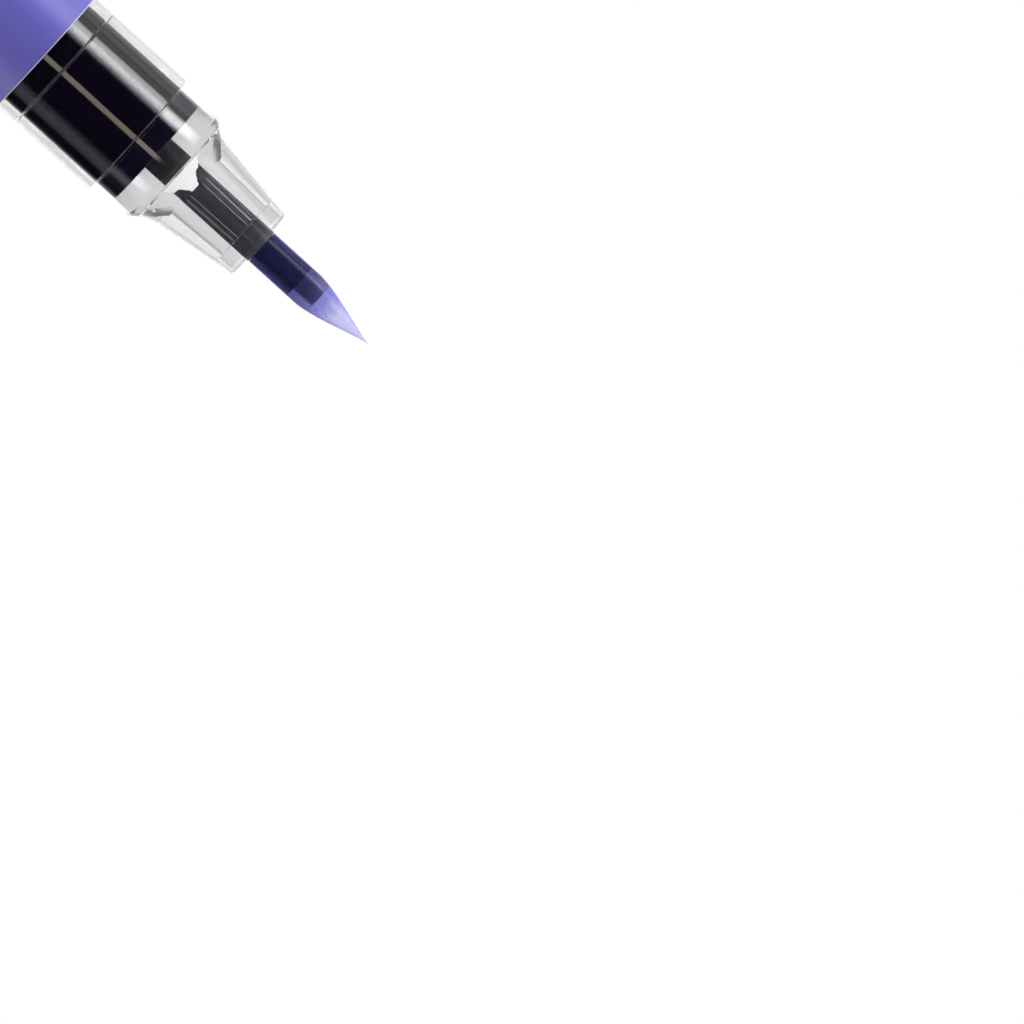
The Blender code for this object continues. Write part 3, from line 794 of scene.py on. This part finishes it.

# The white plastic also gives off a little light of its own: painted light that keeps the ring white.
glowing_white_finish, nodes, shader = new_finish(
    "white_plastic", ior=1.5, emission_color=(1, 1, 1, 1), emission_strength=0.55
)
milky = noise(nodes, 0.8)
feed(
    shader,
    base_color=blend(milky, (0.90, 0.90, 0.91, 1), (0.95, 0.95, 0.96, 1)),
    roughness=0.38 + milky * 0.1,
)
guide_ring = turned("guide_ring", [
    (GUIDE_RADIUS, COLLAR_REAR),
    (COLLAR_RADIUS, COLLAR_REAR, 0.08),
    (COLLAR_RADIUS, COLLAR_SHOULDER, FINE_ROUND),
    (COLLAR_FRONT_RADIUS, COLLAR_FRONT),
    (GUIDE_RADIUS, COLLAR_FRONT),
], SHOULDER_Z, glowing_white_finish, 180)
for vert in guide_ring.data.vertices:
    angle = math.atan2(vert.co.y, vert.co.x) - math.pi / 2 - FIN_TURN
    around = abs(math.remainder(angle, math.pi))
    beside = min(max((around - COLLAR_TONGUE) / (COLLAR_SPREAD - COLLAR_TONGUE), 0), 1)
    up = vert.co.z / MM - SHOULDER_Z
    share = min((up - COLLAR_REAR) / (COLLAR_SHOULDER - COLLAR_REAR), 1)
    drop = max(up - COLLAR_SHOULDER, 0) * RIM_DROP * (1 - math.cos(math.pi * beside)) / 2
    drop += min(max(around / COLLAR_SPREAD - 1, 0) * SIDE_SLOPE, 1) * SIDE_DROP * share
    vert.co.z -= drop * MM
dress(guide_ring, "barrel", "white_plastic", "guide_collar")

# %% [markdown]
# ## Valve housing
#
# The black drum seen through the clear wall holds the valve. It is glossy, with faint rings from the mould
# turning, and its cover closes it at the front. The line between them shows as a thin ring.

# %% Black housing
black, nodes, shader = new_finish("black_housing", ior=1.5)
rings = noise(nodes, 3, stretch=0.06, detail=2.0)
mottle = noise(nodes, 1.2)
feed(
    shader,
    base_color=blend(mottle, (0.009, 0.004, 0.027, 1), (0.013, 0.006, 0.036, 1)),
    roughness=0.07 + rings * 0.06 + mottle * 0.03,
    normal=relief(nodes, rings, 0.0005),
)
HOUSING_RADIUS = 5.15
HOUSING_REAR = -18.3
HOUSING_FRONT = 0.12
NECK_RADIUS = 4.95
NECK_LENGTH = 6.8
BEAD_SLOPE = 0.2
INLET_RADIUS = 2.65
INLET_FLOOR = -17.3
VALVE_HOLE = 1.3
SPRING_BORE = 2.4
SPRING_SEAT = -15.3
POCKET_RADIUS = 3.4
POCKET_REAR = -5.38


def bead(low, length):
    """Corners of one sealing bead on a hidden neck."""
    high = low + length
    crest = [(HOUSING_RADIUS, low + BEAD_SLOPE), (HOUSING_RADIUS, high - BEAD_SLOPE)]
    return [(NECK_RADIUS, low), *crest, (NECK_RADIUS, high)]


valve_drum = turned("valve_drum", [
    (INLET_RADIUS, HOUSING_REAR),
    (NECK_RADIUS, HOUSING_REAR, 0.3),
    *bead(HOUSING_REAR + 1, 1.1),
    *bead(HOUSING_REAR + 4, 1.1),
    (NECK_RADIUS, HOUSING_REAR + NECK_LENGTH),
    (HOUSING_RADIUS, HOUSING_REAR + NECK_LENGTH + BEAD_SLOPE, 0.1),
    (HOUSING_RADIUS, HOUSING_FRONT, EDGE),
    (POCKET_RADIUS, HOUSING_FRONT),
    (POCKET_RADIUS, POCKET_REAR),
    (SPRING_BORE, POCKET_REAR),
    (SPRING_BORE, SPRING_SEAT),
    (VALVE_HOLE, SPRING_SEAT),
    (VALVE_HOLE, INLET_FLOOR),
    (INLET_RADIUS, INLET_FLOOR),
], SHOULDER_Z, black, 192)
dress(valve_drum, "barrel", "black_plastic", "valve_housing")

# %% Housing cover
COVER_PLUG = 3.35
COVER_REAR = -2.48
COVER_SEAT = 0.17
COVER_FRONT = 2.13
drum_cover = turned("drum_cover", [
    (GUIDE_RADIUS, COVER_REAR),
    (COVER_PLUG, COVER_REAR, EDGE),
    (COVER_PLUG, COVER_SEAT),
    (HOUSING_RADIUS, COVER_SEAT, EDGE),
    (HOUSING_RADIUS, COVER_FRONT, EDGE),
    (GUIDE_RADIUS, COVER_FRONT, EDGE),
], SHOULDER_Z, black, 192)
dress(drum_cover, "barrel", "black_plastic", "housing_cover")

# %% [markdown]
# ## Holder, wick and brush tip
#
# The dark holder slides in the nose and carries the tip. Inside it a felt wick brings paint to the tip and
# shows through it as a dark core with a step near its end. The tip is soft and translucent, and its taper
# follows a rule: full at first, then drawn in to a fine point. Round the wick it is soaked with paint. Past
# the wick it is paler, in streaks along its strands, and a violet sheen deepens its edges.

# %% Holder
holder_finish, nodes, shader = new_finish("holder_plastic", ior=1.5)
speck = noise(nodes, 0.5, detail=4.0)
wear = noise(nodes, 0.25, stretch=8)
shell = blend(speck, (0.016, 0.014, 0.020, 1), (0.026, 0.023, 0.034, 1))
# Inside the nose the holder is painted a lighter bluish grey: painted light for the glow that the clear nose
# throws onto it.
painted_light_front = blend(speck, (0.046, 0.046, 0.060, 1), (0.062, 0.063, 0.082, 1))
up = axis_height(nodes) - SHOULDER_Z
feed(
    shader,
    base_color=blend(between(up, 5.0, 7.0), shell, painted_light_front),
    roughness=0.40 + wear * 0.12,
    normal=relief(nodes, wear, 0.003),
)
HOLDER_RADIUS = 1.61
HOLDER_FRONT = 13.76
HOLDER_REAR = -6.58
SKIRT_RADIUS = 1.45
FLANGE_RADIUS = 2.6
FLANGE_REAR = -3.33
FLANGE_FRONT = -2.53
SOCKET_RADIUS = 1.35
SOCKET_REAR = 10.71
WICK_BORE = 1.08
WICK_FLOOR = -5.03
STEM_BORE = 0.95
tip_holder = turned("tip_holder", [
    (STEM_BORE, HOLDER_REAR),
    (SKIRT_RADIUS, HOLDER_REAR, 0.1),
    (SKIRT_RADIUS, FLANGE_REAR),
    (FLANGE_RADIUS, FLANGE_REAR, EDGE),
    (FLANGE_RADIUS, FLANGE_FRONT, EDGE),
    (HOLDER_RADIUS, FLANGE_FRONT),
    (HOLDER_RADIUS, HOLDER_FRONT, 0.06),
    (SOCKET_RADIUS, HOLDER_FRONT),
    (SOCKET_RADIUS, SOCKET_REAR),
    (WICK_BORE, SOCKET_REAR),
    (WICK_BORE, WICK_FLOOR),
    (STEM_BORE, WICK_FLOOR),
], SHOULDER_Z, holder_finish, 96)
dress(tip_holder, "nib", "holder_plastic", "nib_holder")

# %% Wick
wick_finish, nodes, shader = new_finish("soaked_wick", ior=1.4)
fibres = noise(nodes, 0.08, stretch=30, detail=4.0)
feed(
    shader,
    base_color=blend(fibres, (0.006, 0.004, 0.050, 1), (0.022, 0.016, 0.125, 1)),
    roughness=0.45 + fibres * 0.25,
    normal=relief(nodes, fibres, 0.004),
)
WICK_RADIUS = 1.03
WICK_REAR = -4.98
WICK_STEP = 18.0
WICK_POINT = 0.65
WICK_FRONT = 20.13
paint_wick = turned("paint_wick", [
    (0, WICK_REAR),
    (WICK_RADIUS, WICK_REAR),
    (WICK_RADIUS, WICK_STEP, 0.15),
    (WICK_POINT, WICK_STEP),
    (WICK_POINT, WICK_FRONT, 0.2),
    (0, WICK_FRONT),
], SHOULDER_Z, wick_finish, 96)
dress(paint_wick, "nib", "soaked_wick", "feed_wick")

# %% Soaked tip
soaked, nodes, shader = new_finish("soaked_tip", transmission_weight=0.75, ior=1.25)
strands = noise(nodes, 0.2, stretch=14, detail=1.0)
up = axis_height(nodes) - SHOULDER_Z + (strands - 0.5) * 0.1
thinned = blend(between(up, 18.3, 20.6), (0.115, 0.118, 0.360, 1), (0.24, 0.235, 0.56, 1))
feed(
    shader,
    base_color=blend(between(up, 17.95, 18.1), (0.050, 0.050, 0.220, 1), thinned),
    roughness=0.16 + strands * 0.1,
    normal=relief(nodes, strands, 0.001),
)
print("soaked tip nodes:", len(soaked.node_tree.nodes))

# %% Soft tip
# The soft tip also gives off a faint bluish light of its own: painted light that lifts its pale front.
glowing_tip_finish, nodes, shader = new_finish(
    "soft_tip",
    transmission_weight=0.75,
    ior=1.25,
    sheen_weight=1.0,
    sheen_roughness=0.6,
    sheen_tint=(0.16, 0.15, 0.70, 1),
    coat_weight=1.0,
    coat_ior=1.12,
    coat_roughness=0.2,
    coat_tint=(0.84, 0.84, 0.985, 1),
    emission_color=(0.80, 0.82, 1.0, 1),
    emission_strength=0.10,
)
strands = noise(nodes, 0.2, stretch=14, detail=1.0)
up = axis_height(nodes) - SHOULDER_Z + (strands - 0.5) * 1.8
feed(
    shader,
    base_color=blend(between(up, 20.1, 22.8), (0.26, 0.25, 0.60, 1), (0.95, 0.95, 0.98, 1)),
    roughness=0.16 + strands * 0.1,
    normal=relief(nodes, strands, 0.001),
)
print("soft tip nodes:", len(glowing_tip_finish.node_tree.nodes))

# %% Brush tip
TIP_RADIUS = 1.57
TIP_REAR = 13.81
TIP_FRONT = 25.86
TAPER = 6.86
TAPER_STEPS = 60
STEM_RADIUS = 1.3
STEM_REAR = 10.76
HOLE_STEP = 18.05
HOLE_POINT = 0.7
DRY_FROM = 20.18
taper = []
for i in range(TAPER_STEPS + 1):
    along = 1 - i / TAPER_STEPS
    taper.append((TIP_RADIUS * (1 - along**1.5) ** 1.35, TIP_FRONT - TAPER * (1 - along)))
soft_tip = turned("soft_brush_tip", [
    *taper,
    (TIP_RADIUS, TIP_REAR, FINE_ROUND),
    (STEM_RADIUS, TIP_REAR),
    (STEM_RADIUS, STEM_REAR),
    (WICK_BORE, STEM_REAR),
    (WICK_BORE, HOLE_STEP),
    (HOLE_POINT, HOLE_STEP),
    (HOLE_POINT, DRY_FROM, 0.2),
    (0, DRY_FROM),
], SHOULDER_Z, soaked, 128)
finish_with(soft_tip, soaked, glowing_tip_finish)
for face in soft_tip.data.polygons:
    face.material_index = int(face.center.z > (SHOULDER_Z + DRY_FROM) * MM)
dress(soft_tip, "nib", "brush_fibre", "brush_tip")

# %% [markdown]
# ## Cap and tail
#
# The cap is posted on the tail. It is moulded in the film's colour, a little less glossy, with a clip that
# grows out of it near the closed end. The clip is a plate with rounded edges, joined to the turned shell
# with a Boolean so that they are one moulding. A natural-coloured liner sits inside.

# %% Cap plastic
moulded, nodes, shader = new_finish("lavender_plastic", ior=1.48)
swirl = noise(nodes, 4, stretch=2.5, detail=3.0)
skin = noise(nodes, 0.18, detail=2.0)
rubs = between(noise(nodes, 0.6, stretch=5, detail=5.0, roughness=0.65), 0.62, 0.72)
feed(
    shader,
    base_color=blend(swirl, (0.175, 0.152, 0.60, 1), (0.205, 0.182, 0.67, 1)),
    roughness=0.33 + skin * 0.1 + rubs * 0.12,
    normal=relief(nodes, skin, 0.005),
)
print("cap plastic nodes:", len(moulded.node_tree.nodes))

# %% Cap shell
CAP_LENGTH = 32.0
CAP_MOUTH = 6.6
CAP_END = 6.35
CAP_FLOOR = 1.3
POST_BORE = 5.6
POST_FLOOR = 26.7
LINER_BORE = 5.35
cap_body = turned("cap_body", [
    (0, 0),
    (CAP_END, 0, 1.0),
    (CAP_MOUTH, CAP_LENGTH, 0.2),
    (POST_BORE, CAP_LENGTH, 0.2),
    (POST_BORE, POST_FLOOR),
    (LINER_BORE, POST_FLOOR),
    (LINER_BORE, CAP_FLOOR),
    (0, CAP_FLOOR),
], 0, moulded, 160)
print("cap faces before its clip:", len(cap_body.data.polygons))

# %% Clip
CLIP_INNER = CAP_MOUTH + 0.95
CLIP_OUTER = CLIP_INNER + 1.15
CLIP_PAD = CAP_MOUTH + 0.35
CLIP_BURIED = CAP_END - 0.7
CLIP_WIDTH = 3.8
CLIP_LOW = 2.4
CLIP_HIGH = 27.6
CLIP_LEAN = 0.4
ROOT_HIGH = 6.0
PAD_LOW = 25.2
PAD_SLOPE = 0.6
CLIP_ROUND = 0.3
clip_outline = rounded([
    (CLIP_BURIED, CLIP_LOW),
    (CLIP_OUTER, CLIP_LOW, 1.5),
    (CLIP_OUTER - CLIP_LEAN, CLIP_HIGH, 0.5),
    (CLIP_PAD, CLIP_HIGH, 0.4),
    (CLIP_PAD, PAD_LOW, 0.3),
    (CLIP_INNER, PAD_LOW - PAD_SLOPE, 0.4),
    (CLIP_INNER, ROOT_HIGH, 0.5),
    (CLIP_BURIED, ROOT_HIGH),
])
shape = bmesh.new()
flank = [shape.verts.new((x * MM, -CLIP_WIDTH / 2 * MM, z * MM)) for x, z in clip_outline]
grown = bmesh.ops.extrude_face_region(shape, geom=[shape.faces.new(flank)])["geom"]
far = [part for part in grown if isinstance(part, bmesh.types.BMVert)]
bmesh.ops.translate(shape, verts=far, vec=(0, CLIP_WIDTH * MM, 0))
bmesh.ops.recalc_face_normals(shape, faces=shape.faces)
clip_mesh = bpy.data.meshes.new("clip")
shape.to_mesh(clip_mesh)
shape.free()
clip = bpy.data.objects.new("clip", clip_mesh)
scene.collection.objects.link(clip)
edges = clip.modifiers.new("edges", "BEVEL")
edges.width = CLIP_ROUND * MM
edges.segments = 4
edges.limit_method = "ANGLE"
edges.angle_limit = math.radians(60)
join = cap_body.modifiers.new("clip", "BOOLEAN")
join.operation = "UNION"
join.solver = "EXACT"
join.object = clip
finish_with(settle(cap_body), moulded)
bpy.data.objects.remove(clip)
dress(cap_body, "cap", "lavender_plastic", "cap_shell")

# %% Cap liner
natural, nodes, shader = new_finish("liner_plastic", subsurface_weight=0.3, ior=1.5)
shader.inputs["Subsurface Radius"].default_value = (0.002, 0.002, 0.002)
haze = noise(nodes, 2.0)
feed(
    shader,
    base_color=blend(haze, (0.80, 0.81, 0.86, 1), (0.88, 0.89, 0.93, 1)),
    roughness=0.38 + haze * 0.15,
)
LINER_RADIUS = 5.3
LINER_INSIDE = 4.5
LINER_LOW = 1.35
LINER_FLOOR = 2.15
LINER_HIGH = 26.2
cap_inner = turned("cap_inner", [
    (0, LINER_LOW),
    (LINER_RADIUS, LINER_LOW, 0.5),
    (LINER_RADIUS, LINER_HIGH, 0.15),
    (LINER_INSIDE, LINER_HIGH, 0.3),
    (LINER_INSIDE, LINER_FLOOR, 0.5),
    (0, LINER_FLOOR),
], 0, natural, 128)
dress(cap_inner, "cap", "liner_plastic", "cap_liner")

# %% Tail plug
TAIL_Z = 32.1
POST_LENGTH = 4.5
POST_CHAMFER = 0.5
RIM = 1.2
PLUG_FRONT = 9.5
PLUG_INSIDE = 4.1
PLUG_FLOOR = -2.3
tail_end = turned("tail_end", [
    (0, -POST_LENGTH),
    (SEAT_RADIUS - POST_CHAMFER, -POST_LENGTH, 0.1),
    (SEAT_RADIUS, POST_CHAMFER - POST_LENGTH, 0.2),
    (SEAT_RADIUS, 0),
    (BARREL_RADIUS, 0, EDGE),
    (BARREL_RADIUS, RIM, EDGE),
    (NECK_RADIUS, RIM),
    *bead(2.8, 1.0),
    *bead(6.4, 1.0),
    (NECK_RADIUS, PLUG_FRONT, 0.1),
    (PLUG_INSIDE, PLUG_FRONT, 0.1),
    (PLUG_INSIDE, PLUG_FLOOR, 0.6),
    (0, PLUG_FLOOR),
], TAIL_Z, moulded, 160)
dress(tail_end, "barrel", "lavender_plastic", "tail_plug")

# %% [markdown]
# ## Inside the valve
#
# The spring, plunger, gasket and mixing ball are hidden in use. The spring is a path with a wire along
# it, which nodes make well. The other three keep their CAD shapes.

# %% Steel
steel, nodes, shader = new_finish("steel", metallic=1.0)
drawn = noise(nodes, 0.3, stretch=0.5, detail=4.0)
feed(
    shader,
    base_color=blend(drawn, (0.52, 0.52, 0.54, 1), (0.68, 0.68, 0.70, 1)),
    roughness=0.16 + drawn * 0.18,
)
print("steel nodes:", len(steel.node_tree.nodes))

# %% Spring
SPRING_LOW = -15.0
SPRING_HIGH = -3.63
SPRING_TURNS = 7
SPRING_RADIUS = 1.9
WIRE_RADIUS = 0.2


def coil_tree():
    kinds = dict.fromkeys(("Turns", "Radius", "Length", "Wire"), "Float")
    tree, nodes, given = shape_tree("coil", "Base", kinds)
    path = nodes.add("GeometryNodeCurveSpiral", {
        "Resolution": 32,
        "Rotations": given["Turns"],
        "Start Radius": given["Radius"],
        "End Radius": given["Radius"],
        "Height": given["Length"],
    })
    circle = {"Resolution": 12, "Radius": given["Wire"]}
    section = nodes.add("GeometryNodeCurvePrimitiveCircle", circle, "Curve")
    sweep = {"Curve": path, "Profile Curve": section, "Fill Caps": True}
    wire = nodes.add("GeometryNodeCurveToMesh", sweep)
    place = {"Geometry": wire, "Translation": (0, 0, (SHOULDER_Z + SPRING_LOW) * MM)}
    end_tree(tree, nodes, nodes.add("GeometryNodeTransform", place), given["Finish"])
    return tree


coil = shaped_by(coil_tree(), bpy.data.meshes.new("return_spring"), steel, {
    "Turns": float(SPRING_TURNS),
    "Radius": SPRING_RADIUS * MM,
    "Length": (SPRING_HIGH - SPRING_LOW) * MM,
    "Wire": WIRE_RADIUS * MM,
})
dress(coil, "barrel", "steel", "valve_spring")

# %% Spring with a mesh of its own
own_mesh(coil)

# %% Plunger, gasket and ball
gum, nodes, shader = new_finish("rubber", ior=1.5)
bloom = noise(nodes, 0.6, detail=4.0)
feed(
    shader,
    base_color=blend(bloom, (0.02, 0.02, 0.02, 1), (0.04, 0.04, 0.042, 1)),
    roughness=0.62 + bloom * 0.2,
    normal=relief(nodes, bloom, 0.01),
)
for node, finish in (("valve_plunger", holder_finish), ("valve_gasket", gum), ("mixing_ball", steel)):
    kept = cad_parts[node]
    kept.data.materials.clear()
    kept.data.materials.append(finish)
    print(node, "keeps its CAD shape in", finish.name)
